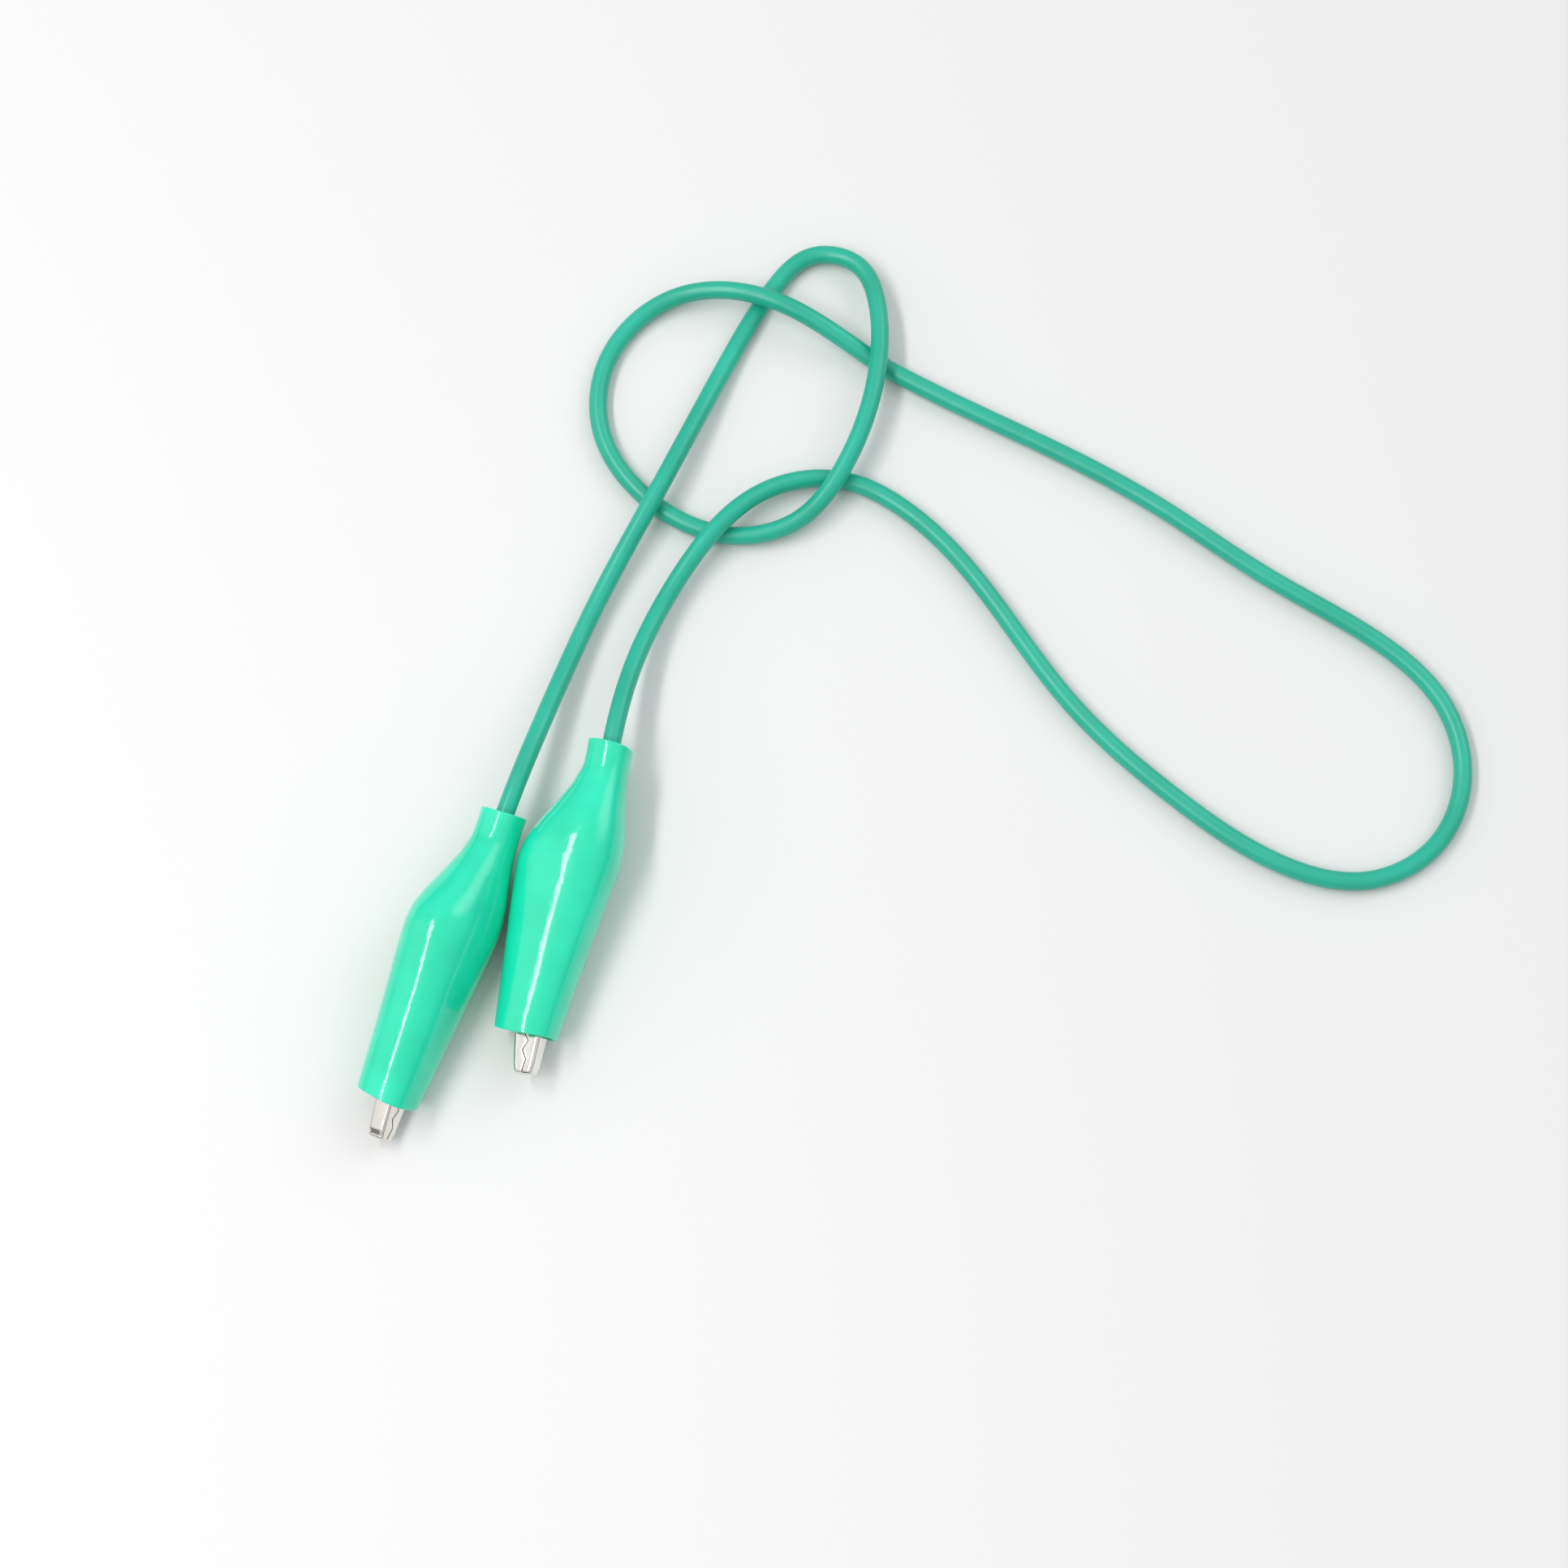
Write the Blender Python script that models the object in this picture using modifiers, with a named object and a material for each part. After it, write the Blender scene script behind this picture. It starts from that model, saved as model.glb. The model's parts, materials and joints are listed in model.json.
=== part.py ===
"""Alligator clip lead: a soft insulated wire with a booted alligator clip at each end.

Metres, +Z up, standing on z = 0. The lead lies on a table, tied in one loose overhand knot, with its two
clips side by side.

Each clip is modelled in its own clip frame, whose origin is the middle of the pivot pin:
    x  towards the jaws' tip
    y  along the pivot pin
    z  from the fixed jaw to the moving jaw, with the tooth line at z = 0
"""

import math

import bmesh
import bpy
import numpy as np
from mathutils import Matrix, Vector

MM = 0.001

# Lead wire.
WIRE_RADIUS = 1.15 * MM
WIRE_SPACING = 6.5 * MM
CONDUCTOR_RADIUS = 0.42 * MM

# Clip stampings.
SHEET = 0.4 * MM
CORNER_RADIUS = 0.5 * MM
TOOTH_PITCH = 2.2 * MM
TOOTH_HEIGHT = 0.6 * MM
TOOTH_COUNT = 4
TEETH_START = 7.2 * MM
JAW_GAP = 0.12 * MM
EAR_RADIUS = 1.9 * MM
FIXED_EAR_HALF_WIDTH = 2.55 * MM
MOVING_EAR_HALF_WIDTH = 1.9 * MM
CRIMP_RADIUS = 1.75 * MM
CRIMP_Z = -4.6 * MM

# Pivot pin and torsion spring.
PIN_RADIUS = 0.6 * MM
PIN_HOLE_RADIUS = 0.7 * MM
PIN_HEAD_RADIUS = 1.05 * MM
PIN_HEAD_HEIGHT = 0.4 * MM
COIL_RADIUS = 1.05 * MM
COIL_TURNS = 4
COIL_PITCH = 0.53 * MM
SPRING_WIRE_RADIUS = 0.2 * MM

# Boot: (x, top z, bottom z, half width) of its outer surface, all in mm in the clip frame.
BOOT_WALL = 0.8 * MM
BOOT_STATIONS = [
    (-24.5, -2.20, -7.50, 2.60),
    (-21.0, -1.95, -7.35, 2.62),
    (-18.5, -0.85, -7.40, 2.95),
    (-16.0, 0.90, -7.60, 3.60),
    (-13.5, 2.75, -7.90, 4.30),
    (-11.2, 4.15, -8.00, 4.68),
    (-9.0, 4.75, -7.75, 4.78),
    (-4.7, 4.77, -6.79, 4.58),
    (12.5, 4.55, -2.93, 3.52),
]
BOOT_SHOULDER = 6
BOOT_SIDES = 24
BOOT_SQUARENESS = 2.4
BOOT_SINK = 0.15 * MM

# The two ends of the lead: pivot place on the table, heading of the jaws, and roll about the clip's x axis.
FRONT_END = {"place": (5.9 * MM, 0.3 * MM), "heading": -97.5, "roll": 110.0}
REAR_END = {"place": (-8.75 * MM, -8.1 * MM), "heading": -107.0, "roll": 28.0}

# The wire's route in mm, from the front clip's crimp, round the knot and the long loop, to the rear clip's.
WIRE_ROUTE = [
    (12.2, 14.9, 6.25),
    (12.7, 18.5, 6.4),
    (13.6, 24.0, 6.6),
    (15.9, 34.0, 4.7),
    (20.4, 44.5, 3.0),
    (26.5, 53.0, 3.9),
    (32.9, 58.3, 2.6),
    (40.9, 60.0, 1.2),
    (50.9, 55.0, 1.2),
    (69.9, 30.5, 1.2),
    (82.9, 18.0, 1.2),
    (94.9, 10.0, 1.2),
    (105.4, 7.8, 1.2),
    (113.9, 12.0, 1.2),
    (117.9, 21.0, 1.2),
    (115.9, 30.5, 1.2),
    (107.9, 38.8, 1.2),
    (94.9, 47.0, 1.2),
    (79.9, 57.5, 1.2),
    (46.9, 75.5, 1.2),
    (32.3, 83.6, 3.9),
    (20.4, 84.5, 1.8),
    (12.4, 77.0, 1.2),
    (11.4, 66.5, 1.2),
    (18.4, 56.5, 1.2),
    (27.9, 52.5, 1.2),
    (36.4, 54.2, 2.4),
    (41.9, 60.5, 3.9),
    (46.5, 75.5, 4.0),
    (46.3, 83.5, 3.1),
    (43.7, 89.2, 2.0),
    (38.3, 90.6, 1.3),
    (33.1, 86.0, 1.2),
    (27.9, 77.0, 1.3),
    (18.7, 57.5, 3.9),
    (11.4, 43.5, 2.4),
    (5.8, 29.5, 4.0),
    (0.75, 15.0, 6.0),
    (-0.95, 9.9, 5.2),
    (-2.05, 6.4, 4.4),
]


def mm_vector(point):
    return Vector(point) * MM


def new_collection(name, parent):
    collection = bpy.data.collections.new(name)
    parent.children.link(collection)
    return collection


def material(name, colour, roughness, metallic=0.0):
    made = bpy.data.materials.new(name)
    made.use_nodes = True
    shader = made.node_tree.nodes["Principled BSDF"]
    shader.inputs["Base Color"].default_value = (*colour, 1.0)
    shader.inputs["Roughness"].default_value = roughness
    shader.inputs["Metallic"].default_value = metallic
    return made


def place(obj, collection, parent, finish):
    collection.objects.link(obj)
    obj.parent = parent
    obj.data.materials.append(finish)
    return obj


def shade(obj, angle=40):
    obj.data.shade_smooth()
    obj.data.set_sharp_from_angle(angle=math.radians(angle))


def mesh_from(bm, name):
    bmesh.ops.recalc_face_normals(bm, faces=bm.faces)
    mesh = bpy.data.meshes.new(name)
    bm.to_mesh(mesh)
    bm.free()
    return mesh


def loft(name, rings, closed):
    """A surface through rings of the same number of points. Its normals are set by the first ring's turn."""
    bm = bmesh.new()
    rows = [[bm.verts.new(point) for point in ring] for ring in rings]
    count = len(rings[0])
    for row, following in zip(rows, rows[1:]):
        for i in range(count if closed else count - 1):
            j = (i + 1) % count
            bm.faces.new((row[i], row[j], following[j], following[i]))
    mesh = bpy.data.meshes.new(name)
    bm.to_mesh(mesh)
    bm.free()
    return mesh


def solidify(obj, thickness):
    modifier = obj.modifiers.new("Wall", "SOLIDIFY")
    modifier.thickness = thickness
    modifier.offset = -1
    modifier.use_even_offset = True
    return modifier


def cut(obj, cutter, name):
    modifier = obj.modifiers.new(name, "BOOLEAN")
    modifier.operation = "DIFFERENCE"
    modifier.object = cutter
    modifier.solver = "EXACT"


def empty(name, collection, parent, matrix):
    made = bpy.data.objects.new(name, None)
    made.empty_display_size = 5 * MM
    collection.objects.link(made)
    made.parent = parent
    made.matrix_local = matrix
    return made


# ---------------------------------------------------------------- boot


def boot_section(station):
    """The outer outline of the boot at a station, as points in the clip frame."""
    x, top, bottom, half_width = (value * MM for value in station)
    middle, half_height = (top + bottom) / 2, (top - bottom) / 2
    points = []
    for i in range(BOOT_SIDES):
        angle = math.tau * i / BOOT_SIDES
        across, up = math.cos(angle), math.sin(angle)
        y = half_width * math.copysign(abs(across) ** (2 / BOOT_SQUARENESS), across)
        z = half_height * math.copysign(abs(up) ** (2 / BOOT_SQUARENESS), up)
        points.append(Vector((x, y, middle + z)))
    return points


def lowest(station, roll):
    """The lowest height of the boot's outline at a station, with the clip rolled but level."""
    turn = Matrix.Rotation(math.radians(roll), 3, "X")
    return min((turn @ point).z for point in boot_section(station))


def rest_matrix(roll):
    """The clip frame on the table: rolled, and tilted so that the boot's shoulder and mouth both touch it."""
    shoulder, mouth = BOOT_STATIONS[BOOT_SHOULDER], BOOT_STATIONS[-1]
    shoulder_low, mouth_low = lowest(shoulder, roll), lowest(mouth, roll)
    tilt = math.atan2(mouth_low - shoulder_low, (mouth[0] - shoulder[0]) * MM)
    height = shoulder[0] * MM * math.sin(tilt) - shoulder_low * math.cos(tilt) - BOOT_SINK
    lift = Matrix.Translation((0, 0, height))
    return lift @ Matrix.Rotation(tilt, 4, "Y") @ Matrix.Rotation(math.radians(roll), 4, "X")


def make_boot(name, collection, table_point, clip_matrix, finish):
    """The sleeve's outer surface, flattened where it rests on the table, and thickened inwards."""
    rings = []
    for station in BOOT_STATIONS:
        ring = [clip_matrix @ point for point in boot_section(station)]
        for point in ring:
            point.z = max(point.z, 0.0)
        rings.append(ring)
    boot = bpy.data.objects.new(name, loft(name, rings, closed=True))
    solidify(boot, BOOT_WALL)
    place(boot, collection, table_point, finish)
    shade(boot)
    return boot


# ---------------------------------------------------------------- jaws


def channel_section(x, half_width, spine, edge):
    """An open channel: up one wall from its edge, round the spine, and down the other wall."""
    side = math.copysign(1, spine - edge)
    radius = min(CORNER_RADIUS, 0.8 * half_width, 0.9 * abs(spine - edge))
    corner = []
    for i in range(4):
        angle = math.radians(30 * i)
        y = half_width - radius + radius * math.cos(angle)
        z = spine - side * radius * (1 - math.sin(angle))
        corner.append((y, z))
    half = [(half_width, edge), *corner]
    return [Vector((x, y, z)) for y, z in half] + [Vector((x, -y, z)) for y, z in reversed(half)]


def crimp_section(x, opening):
    """The channel curled round the wire, open by this angle in degrees at its top."""
    count = 10
    points = []
    for i in range(count):
        angle = math.radians(90 - opening / 2 - (360 - opening) * i / (count - 1))
        y, z = CRIMP_RADIUS * math.cos(angle), CRIMP_Z + CRIMP_RADIUS * math.sin(angle)
        points.append(Vector((x, y, z)))
    return points


def tooth_line():
    """(x, z) of the zigzag that both jaws' edges follow, from the throat to the tip."""
    points = [(TEETH_START, 0.0)]
    for i in range(2 * TOOTH_COUNT):
        x = TEETH_START + TOOTH_PITCH * (i + 0.5) / 2
        points.append((x, TOOTH_HEIGHT / 2 * (-1) ** i))
    return points


def jaw_outline(x):
    """(half width, distance of the spine from the tooth line) of both jaws ahead of the throat."""
    at = [5.0, 7.2, 12.5, 15.8, 16.7, 17.0]
    half_width = np.interp(x / MM, at, [1.85, 1.70, 1.32, 1.18, 1.13, 1.00])
    spine = np.interp(x / MM, at, [2.50, 2.30, 1.75, 1.42, 1.30, 1.08])
    return half_width * MM, spine * MM


def toothed_sections(side):
    """Channel sections from the throat to the tip. side is 1 for the moving jaw and -1 for the fixed one."""
    sections = []
    for x, z in tooth_line():
        half_width, spine = jaw_outline(x)
        sections.append(channel_section(x, half_width, side * spine, z + side * JAW_GAP))
    for x in (16.7 * MM, 17.0 * MM):
        half_width, spine = jaw_outline(x)
        sections.append(channel_section(x, half_width, side * spine, side * JAW_GAP))
    return sections


def ear_sections(half_width, spine_at, side):
    """Channel sections whose walls reach past the pivot as round ears."""
    sections = []
    for degrees in (155, 125, 90, 55, 25):
        x = EAR_RADIUS * math.cos(math.radians(degrees))
        edge = -side * EAR_RADIUS * math.sin(math.radians(degrees))
        sections.append(channel_section(x, half_width, spine_at(x), edge))
    return sections


def hole_cutter(name, collection, parent):
    """A cylinder along the pivot, to pierce both ears."""
    bm = bmesh.new()
    turn = Matrix.Rotation(math.radians(90), 4, "X")
    bmesh.ops.create_cone(bm, cap_ends=True, segments=20, radius1=PIN_HOLE_RADIUS,
                          radius2=PIN_HOLE_RADIUS, depth=8 * MM, matrix=turn)
    cutter = bpy.data.objects.new(name, mesh_from(bm, name))
    collection.objects.link(cutter)
    cutter.parent = parent
    cutter.hide_render = True
    cutter.display_type = "WIRE"
    return cutter


def make_jaw(name, sections, collection, pivot, cutter, finish):
    jaw = bpy.data.objects.new(name, loft(name, sections, closed=False))
    if name.endswith("fixed_jaw"):
        jaw.data.flip_normals()
    solidify(jaw, SHEET)
    cut(jaw, cutter, "Pivot hole")
    place(jaw, collection, pivot, finish)
    shade(jaw)
    return jaw


def moving_jaw_sections():
    """From the thumb pad's rear lip, past the inner ears, to the tip."""
    def spine_at(x):
        return float(np.interp(x / MM, [-4, 0, 5], [3.30, 2.95, 2.50])) * MM

    pad = [
        (-9.7, 1.90, 3.00, 2.35),
        (-9.1, 2.05, 3.33, 2.35),
        (-8.0, 2.10, 3.40, 2.35),
        (-5.6, 2.05, 3.38, 2.20),
        (-4.2, 1.90, 3.30, 1.60),
        (-2.6, 1.90, 3.18, 0.60),
    ]
    sections = [channel_section(*(value * MM for value in row)) for row in pad]
    sections += ear_sections(MOVING_EAR_HALF_WIDTH, spine_at, 1)
    for x, edge in ((2.6, 0.35), (5.0, 0.35)):
        half_width = 1.9 if x < 5 else 1.85
        sections.append(channel_section(x * MM, half_width * MM, spine_at(x * MM), edge * MM))
    return sections + toothed_sections(1)


def fixed_jaw_sections():
    """From the wire crimp, past the thumb pad and the outer ears, to the tip."""
    def spine_at(x):
        return float(np.interp(x / MM, [-4, 0, 5], [-4.80, -3.55, -2.50])) * MM

    crimp = [crimp_section(-18.8 * MM, 50), crimp_section(-15.9 * MM, 50), crimp_section(-15.0 * MM, 120)]
    pad = [
        (-12.6, 2.00, -6.50, -5.20),
        (-9.0, 2.10, -6.20, -4.90),
        (-6.0, 2.40, -5.35, -3.60),
        (-4.4, 2.55, -4.92, -1.60),
        (-2.6, 2.55, -4.36, 0.00),
    ]
    sections = crimp + [channel_section(*(value * MM for value in row)) for row in pad]
    sections += ear_sections(FIXED_EAR_HALF_WIDTH, spine_at, -1)
    for x, half_width, edge in ((2.6, 2.55, -0.35), (5.0, 2.10, -0.35)):
        sections.append(channel_section(x * MM, half_width * MM, spine_at(x * MM), edge * MM))
    return sections + toothed_sections(-1)


# ---------------------------------------------------------------- pivot pin, spring and wire joint


def make_pivot_pin(name, collection, pivot, finish):
    """A rivet turned about its own axis: domed head, shank, and a second head formed at the far ear."""
    seat = FIXED_EAR_HALF_WIDTH + 0.08 * MM
    dome = [
        (PIN_HEAD_RADIUS * math.cos(math.radians(a)), PIN_HEAD_HEIGHT * math.sin(math.radians(a)))
        for a in (0, 30, 60, 90)
    ]
    lower = [(r, -seat - h) for r, h in dome]
    upper = [(r, seat + h) for r, h in reversed(dome)]
    outline = [*upper, (PIN_RADIUS, seat), (PIN_RADIUS, -seat), *lower]
    bm = bmesh.new()
    verts = [bm.verts.new((radius, 0, height)) for radius, height in outline]
    for a, b in zip(verts, verts[1:]):
        bm.edges.new((a, b))
    mesh = bpy.data.meshes.new(name)
    bm.to_mesh(mesh)
    bm.free()
    pin = bpy.data.objects.new(name, mesh)
    turn = pin.modifiers.new("Turn", "SCREW")
    turn.steps = turn.render_steps = 20
    turn.use_merge_vertices = True
    turn.merge_threshold = 0.00001
    pin.rotation_euler = (math.radians(90), 0, 0)
    place(pin, collection, pivot, finish)
    shade(pin)
    return pin


def tube(name, points, radius, collection, parent, finish):
    """A round wire along these points, with closed ends."""
    curve = bpy.data.curves.new(name, "CURVE")
    curve.dimensions = "3D"
    curve.bevel_depth = radius
    curve.bevel_resolution = 2
    curve.use_fill_caps = True
    spline = curve.splines.new("POLY")
    spline.points.add(len(points) - 1)
    for spot, point in zip(spline.points, points):
        spot.co = (*point, 1)
    return place(bpy.data.objects.new(name, curve), collection, parent, finish)


def make_spring(name, collection, pivot, finish):
    """A coil round the pin, with one leg back under the moving pad and one over the fixed pad."""
    half_length = COIL_TURNS * COIL_PITCH / 2
    per_turn = 10
    start, swept = math.radians(75), math.radians(360 * COIL_TURNS + 120)
    count = round(per_turn * swept / math.tau)
    coil = []
    for i in range(count + 1):
        angle = start - swept * i / count
        y = half_length * (2 * i / count - 1)
        coil.append(Vector((COIL_RADIUS * math.cos(angle), y, COIL_RADIUS * math.sin(angle))))
    upper_leg = [mm_vector((-7.6, -half_length / MM, 2.55)), mm_vector((-3.5, -half_length / MM, 2.0))]
    lower_leg = [mm_vector((-3.2, half_length / MM, -3.3)), mm_vector((-6.4, half_length / MM, -4.6))]
    return tube(name, upper_leg + coil + lower_leg, SPRING_WIRE_RADIUS, collection, pivot, finish)


def make_conductor(name, collection, pivot, finish):
    """The bared strands, from the insulation's end down to the fixed jaw's floor."""
    points = [(-15.0, 0, -4.6), (-13.8, 0, -4.7), (-12.2, 0, -5.2), (-10.8, 0, -5.3), (-9.75, 0, -5.15)]
    return tube(name, [mm_vector(p) for p in points], CONDUCTOR_RADIUS, collection, pivot, finish)


def make_solder(name, collection, pivot, finish):
    """A flattened drop on the fixed jaw's floor, at the strands' end."""
    bm = bmesh.new()
    bmesh.ops.create_uvsphere(bm, u_segments=14, v_segments=8, radius=1.0)
    bmesh.ops.scale(bm, vec=(1.2 * MM, 0.9 * MM, 0.42 * MM), verts=bm.verts)
    solder = bpy.data.objects.new(name, mesh_from(bm, name))
    solder.location = mm_vector((-8.2, 0, -5.02))
    solder.rotation_euler = (0, math.radians(-17), 0)
    place(solder, collection, pivot, finish)
    shade(solder, 80)
    return solder


# ---------------------------------------------------------------- lead wire


def smooth_curve(points, spacing):
    """Points along the natural cubic curve through these ones, about this far apart, and none under the table."""
    knots = np.array(points, float)
    spans = np.linalg.norm(np.diff(knots, axis=0), axis=1)
    count = len(knots)
    system, right = np.eye(count), np.zeros((count, 3))
    for i in range(1, count - 1):
        system[i, i - 1 : i + 2] = (spans[i - 1], 2 * (spans[i - 1] + spans[i]), spans[i])
        right[i] = 6 * ((knots[i + 1] - knots[i]) / spans[i] - (knots[i] - knots[i - 1]) / spans[i - 1])
    bend = np.linalg.solve(system, right)
    made = []
    for i, span in enumerate(spans):
        steps = max(1, round(span / spacing))
        for t in np.arange(steps) / steps:
            a, b = (1 - t), t
            cubic = ((a**3 - a) * bend[i] + (b**3 - b) * bend[i + 1]) * span**2 / 6
            made.append(a * knots[i] + b * knots[i + 1] + cubic)
    made.append(knots[-1])
    return [Vector((x, y, max(z, WIRE_RADIUS))) for x, y, z in made]


def make_lead_wire(collection, finish):
    route = [mm_vector(point) for point in WIRE_ROUTE]
    return tube("lead_wire", smooth_curve(route, WIRE_SPACING), WIRE_RADIUS, collection, None, finish)


# ---------------------------------------------------------------- assembly


def make_end(prefix, end, parts, cutters, finishes):
    """One clip with its boot, at one end of the lead."""
    x, y = end["place"]
    heading = Matrix.Rotation(math.radians(end["heading"]), 4, "Z")
    table_point = empty(f"{prefix}_table_point", parts, None, Matrix.Translation((x, y, 0)) @ heading)
    clip_matrix = rest_matrix(end["roll"])
    pivot = empty(f"{prefix}_pivot", parts, table_point, clip_matrix)
    make_boot(f"{prefix}_boot", parts, table_point, clip_matrix, finishes["boot"])
    cutter = hole_cutter(f"{prefix}_pivot_hole", cutters, pivot)
    make_jaw(f"{prefix}_fixed_jaw", fixed_jaw_sections(), parts, pivot, cutter, finishes["nickel"])
    make_jaw(f"{prefix}_moving_jaw", moving_jaw_sections(), parts, pivot, cutter, finishes["nickel"])
    make_pivot_pin(f"{prefix}_pivot_pin", parts, pivot, finishes["steel"])
    make_spring(f"{prefix}_spring", parts, pivot, finishes["steel"])
    make_conductor(f"{prefix}_conductor", parts, pivot, finishes["copper"])
    make_solder(f"{prefix}_solder", parts, pivot, finishes["solder"])


def main():
    for obj in list(bpy.data.objects):
        bpy.data.objects.remove(obj)
    scene_collection = bpy.context.scene.collection
    parts = new_collection("alligator_clip_lead", scene_collection)
    cutters = new_collection("cutters", scene_collection)
    finishes = {
        "boot": material("boot_pvc", (0.03, 0.75, 0.42), 0.22),
        "insulation": material("wire_insulation", (0.02, 0.42, 0.30), 0.45),
        "nickel": material("nickel_plate", (0.80, 0.78, 0.74), 0.18, 1.0),
        "steel": material("spring_steel", (0.62, 0.62, 0.62), 0.30, 1.0),
        "copper": material("tinned_copper", (0.75, 0.55, 0.42), 0.35, 1.0),
        "solder": material("solder_tin", (0.66, 0.67, 0.69), 0.35, 1.0),
    }
    make_end("front", FRONT_END, parts, cutters, finishes)
    make_end("rear", REAR_END, parts, cutters, finishes)
    make_lead_wire(parts, finishes["insulation"])


main()
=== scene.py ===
"""Looks of the alligator clip lead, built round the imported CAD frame.

Metres, +Z up, on the table plane z = 0. The pieces of each clip are drawn in millimetres in the clip's own
frame:
    x  towards the jaws' tip
    y  along the pivot pin
    z  from the fixed jaw to the moving jaw, with the tooth line at z = 0
The frame's joints and mounts say where that frame lies.
"""

import json
import math

import bmesh
import bpy
import numpy as np
from mathutils import Matrix, Vector, noise


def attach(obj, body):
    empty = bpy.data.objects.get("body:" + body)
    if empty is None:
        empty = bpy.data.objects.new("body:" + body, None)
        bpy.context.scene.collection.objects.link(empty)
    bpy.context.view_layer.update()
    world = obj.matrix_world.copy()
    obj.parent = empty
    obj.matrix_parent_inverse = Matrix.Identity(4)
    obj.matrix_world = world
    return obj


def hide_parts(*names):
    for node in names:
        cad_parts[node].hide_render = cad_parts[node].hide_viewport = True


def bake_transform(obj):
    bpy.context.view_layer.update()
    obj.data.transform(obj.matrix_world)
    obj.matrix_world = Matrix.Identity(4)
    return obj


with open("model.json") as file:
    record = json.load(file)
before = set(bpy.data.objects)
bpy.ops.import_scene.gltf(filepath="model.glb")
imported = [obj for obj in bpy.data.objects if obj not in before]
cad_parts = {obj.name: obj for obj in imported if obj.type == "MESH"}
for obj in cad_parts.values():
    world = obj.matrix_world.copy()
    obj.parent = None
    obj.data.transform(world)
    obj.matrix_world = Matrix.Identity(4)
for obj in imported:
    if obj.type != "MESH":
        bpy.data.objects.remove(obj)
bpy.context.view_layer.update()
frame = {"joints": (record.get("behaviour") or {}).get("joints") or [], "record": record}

MM = 0.001
ENDS = ("front", "rear")
BASE_BODY = "lead"
PLACE = "piece_place"

# Camera: the degrees above the horizon, the distance, the point looked at, and the lens and sensor in mm.
CAMERA_ELEVATION = 74
CAMERA_DISTANCE = 420 * MM
CAMERA_TARGET = Vector((34.5, 20.4, 0)) * MM
CAMERA_LENS = 78.3
CAMERA_SENSOR = 36
CAMERA_NEAREST = 0.01

# Cord: its radius, how round its ends are as a share of that, and its route in mm from the front clip's crimp
# to the rear clip's, as in the CAD.
WIRE_RADIUS = 1.15 * MM
WIRE_SPACING = 0.8 * MM
WIRE_SIDES = 28
WIRE_END_ROUNDING = 0.15
WIRE_ROUTE = [
    (12.2, 14.9, 6.25),
    (12.7, 18.5, 6.4),
    (13.6, 24.0, 6.6),
    (15.9, 34.0, 4.7),
    (20.4, 44.5, 3.0),
    (26.5, 53.0, 3.9),
    (32.9, 58.3, 2.6),
    (40.9, 60.0, 1.2),
    (50.9, 55.0, 1.2),
    (69.9, 30.5, 1.2),
    (82.9, 18.0, 1.2),
    (94.9, 10.0, 1.2),
    (105.4, 7.8, 1.2),
    (113.9, 12.0, 1.2),
    (117.9, 21.0, 1.2),
    (115.9, 30.5, 1.2),
    (107.9, 38.8, 1.2),
    (94.9, 47.0, 1.2),
    (79.9, 57.5, 1.2),
    (46.9, 75.5, 1.2),
    (32.3, 83.6, 3.9),
    (20.4, 84.5, 1.8),
    (12.4, 77.0, 1.2),
    (11.4, 66.5, 1.2),
    (18.4, 56.5, 1.2),
    (27.9, 52.5, 1.2),
    (36.4, 54.2, 2.4),
    (41.9, 60.5, 3.9),
    (46.5, 75.5, 4.0),
    (46.3, 83.5, 3.1),
    (43.7, 89.2, 2.0),
    (38.3, 90.6, 1.3),
    (33.1, 86.0, 1.2),
    (27.9, 77.0, 1.3),
    (18.7, 57.5, 3.9),
    (11.4, 43.5, 2.4),
    (5.8, 29.5, 4.0),
    (0.75, 15.0, 6.0),
    (-0.95, 9.9, 5.2),
    (-2.05, 6.4, 4.4),
]

# Boot, in mm: stations of its outer surface (x, top z, bottom z, half width), and its wall (x, thickness).
BOOT_STATIONS = np.array([
    (-24.5, -2.20, -7.50, 2.60),
    (-21.0, -1.95, -7.35, 2.62),
    (-18.5, -0.85, -7.40, 2.95),
    (-16.0, 0.90, -7.60, 3.60),
    (-13.5, 2.75, -7.90, 4.30),
    (-11.2, 4.15, -8.00, 4.68),
    (-9.0, 4.75, -7.75, 4.78),
    (-4.7, 4.77, -6.79, 4.58),
    (12.5, 4.55, -2.93, 3.52),
])
BOOT_WALL = np.array([(-24.5, 0.55), (-20.0, 0.72), (6.0, 0.72), (12.5, 0.5)])
BOOT_SQUARENESS = 2.4
BOOT_SMOOTHING = 1.1
BOOT_SIDES = 128
BOOT_ROWS = 150
BOOT_LEAST_WALL = 0.5 * MM

# Its cut ends, in mm: the rounding of their corners, the flare of the neck, and the waviness of the mouth.
BOOT_RIM = 0.14
RIM_TURNS = (30, 60, 90)
BOOT_FLARE = 0.09
BOOT_FLARE_START = -22.9
BOOT_FLARE_LENGTH = 2.0
MOUTH_UNEVENNESS = 0.12
MOUTH_UNEVEN_START = 8.0
MOUTH_UNEVEN_LENGTH = 4.5
MOUTH_UNEVEN_TURN = 1.0

# How far in degrees each boot's cuts slant: the neck's across the boot, the mouth's across it, and the
# mouth's from the table up. Each slant grows from a start, in mm, over a length.
CUT_SLANTS = {"front": (8, 6, 7), "rear": (0, 6, 5)}
NECK_SLANT_START = -18.5
NECK_SLANT_LENGTH = 5
MOUTH_SLANT_START = 5
MOUTH_SLANT_LENGTH = 7

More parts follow.
